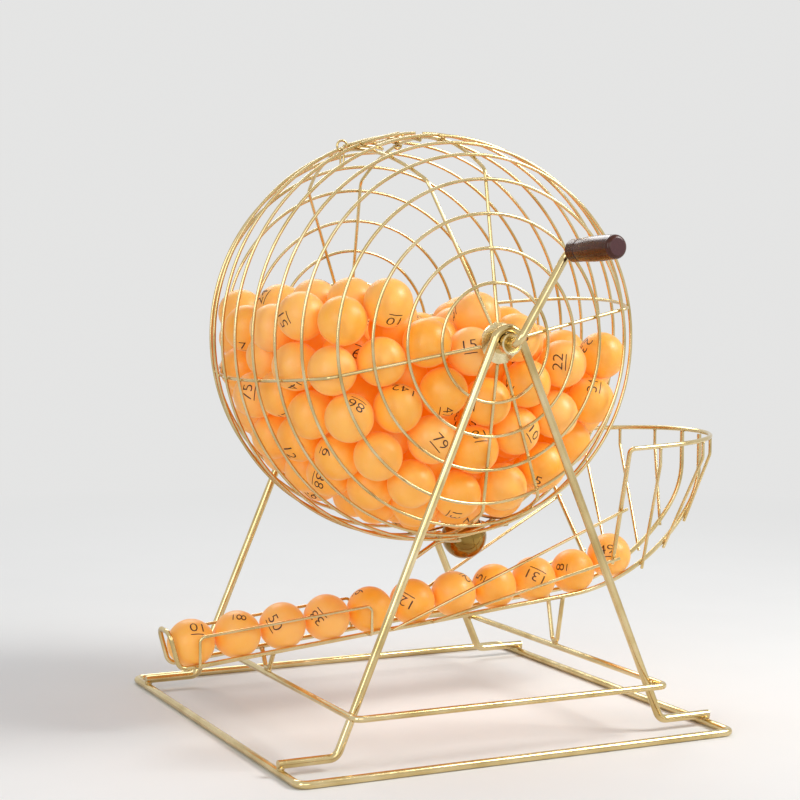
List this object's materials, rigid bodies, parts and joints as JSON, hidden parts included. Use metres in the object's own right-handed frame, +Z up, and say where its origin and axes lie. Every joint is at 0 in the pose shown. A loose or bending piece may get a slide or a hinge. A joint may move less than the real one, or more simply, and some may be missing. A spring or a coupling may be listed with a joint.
{
  "type": "raffle drum with crank",
  "caption": "Wire raffle drum turned by a crank on two A-frames, with a hinged door, an exit gate, a catch basket and a ball chute; numbered balls lie in the drum and the chute.",
  "frame": {"origin": "middle of the base frame's footprint, on the surface that it stands on", "axes": "+Z up, +Y along the drum's axis away from the crank, +X towards the basket"},
  "size_m": [0.5249, 0.4515, 0.5032],
  "materials": {
    "brass_wire": "bright pale brass plating on steel wire",
    "hub_metal": "pale brass plating",
    "brass_ball": "polished",
    "orange_ball": "satin moulded ball with printed plain numbers",
    "brown_grip": "dark brown, semi-gloss"
  },
  "bodies": {
    "stand": {"base_frame": "brass_wire", "brace_frame": "brass_wire", "a_frame_front": "brass_wire", "a_frame_rear": "brass_wire", "bush_front": "hub_metal", "bush_rear": "hub_metal", "chute_rails": "brass_wire", "guard_front": "brass_wire", "guard_rear": "brass_wire", "chute_support_left": "brass_wire", "chute_support_right": "brass_wire", "basket_rim": "brass_wire", "basket_ribs": "brass_wire", "funnel_guides": "brass_wire", "chute_balls": "orange_ball", "pile_balls": "orange_ball"},
    "drum": {"hub_front": "hub_metal", "hub_rear": "hub_metal", "rear_axle": "brass_wire", "crank_rod": "brass_wire", "cone_rings_front": "brass_wire", "cone_rings_rear": "brass_wire", "barrel_rings": "brass_wire", "bay_rings": "brass_wire", "hoop_wires": "brass_wire", "latch_eye": "brass_wire"},
    "grip": {"grip": "brown_grip"},
    "door": {"door_hinge_arms": "brass_wire", "door_cross_bars": "brass_wire", "door_ring_wires": "brass_wire", "door_tongue": "brass_wire"},
    "latch_link": {"latch_link": "brass_wire"},
    "exit_gate": {"gate_hinge_arms": "brass_wire", "gate_cross_bars": "brass_wire", "gate_wires": "brass_wire", "gate_lever": "brass_wire", "gate_ball": "brass_ball"}
  },
  "joints": [
    {"name": "drum_turn", "type": "hinge", "parent": "stand", "child": "drum", "pos_m": [0, 0, 0.3265], "axis": [0, -1, 0], "continuous": true},
    {"name": "grip_spin", "type": "hinge", "parent": "drum", "child": "grip", "pos_m": [0.04506, -0.178, 0.39975], "axis": [0.0251, -0.9988, 0.0409], "continuous": true},
    {"name": "door_hinge", "type": "hinge", "parent": "drum", "child": "door", "pos_m": [0, 0, 0.49501], "axis": [0, -1, 0], "range_deg": [-100, 0]},
    {"name": "link_swing", "type": "hinge", "parent": "drum", "child": "latch_link", "pos_m": [-0.07631, -0.009, 0.48632], "axis": [0, 1, 0], "range_deg": [-60, 60]},
    {"name": "gate_hinge", "type": "hinge", "parent": "drum", "child": "exit_gate", "pos_m": [0, 0, 0.15799], "axis": [0, 1, 0], "range_deg": [0, 12]}
  ]
}
